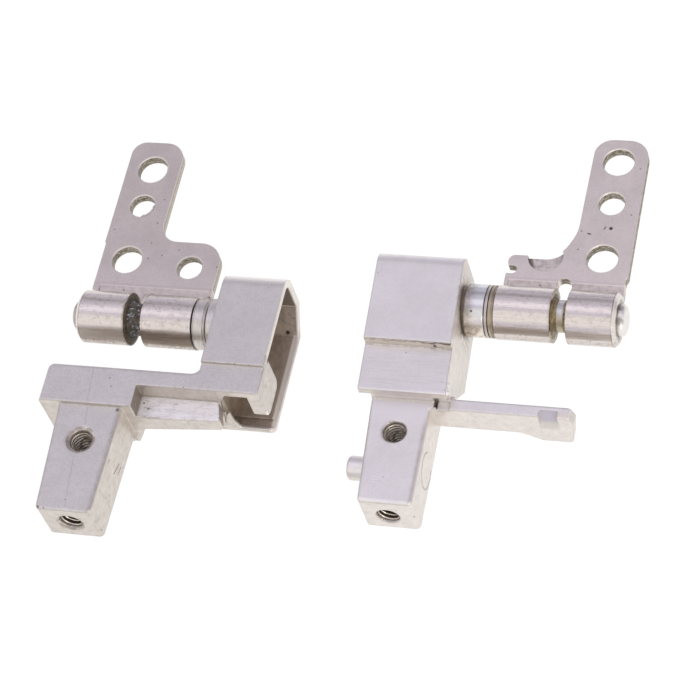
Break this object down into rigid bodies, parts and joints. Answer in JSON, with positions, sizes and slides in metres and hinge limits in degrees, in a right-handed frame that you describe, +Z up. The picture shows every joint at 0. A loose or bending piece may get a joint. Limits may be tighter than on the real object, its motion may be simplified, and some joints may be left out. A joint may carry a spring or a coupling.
{
  "type": "laptop hinge pair",
  "caption": "Left and right laptop lid hinges: cast brackets with tapped posts and hollow cable blocks, and rolled steel leaves that turn stiffly on pins.",
  "frame": {"origin": "bottom centre of the pair's bounding box, on the table plane", "axes": "+X along both hinge pins, +Y from the posts towards the leaves, +Z up"},
  "size_m": [0.0586, 0.0512, 0.0085],
  "materials": {
    "zinc_left": "satin",
    "zinc_right": "satin",
    "leaf_steel": "brushed",
    "pin_steel": "turned"
  },
  "bodies": {
    "base": {"left_bracket": "zinc_left", "left_shaft": "pin_steel", "left_ring": "pin_steel", "right_bracket": "zinc_right", "right_shaft": "pin_steel", "right_ring_inner": "pin_steel", "right_ring_outer": "pin_steel"},
    "left_lid_leaf": {"left_leaf": "leaf_steel"},
    "right_lid_leaf": {"right_leaf": "leaf_steel"}
  },
  "joints": [
    {"name": "left_hinge", "type": "hinge", "parent": "base", "child": "left_lid_leaf", "pos_m": [-0.02209, -0.00085, 0.0045], "axis": [1, 0, 0], "range_deg": [-90, 90]},
    {"name": "right_hinge", "type": "hinge", "parent": "base", "child": "right_lid_leaf", "pos_m": [0.02268, 0.00305, 0.0045], "axis": [1, 0, 0], "range_deg": [-90, 90]}
  ]
}
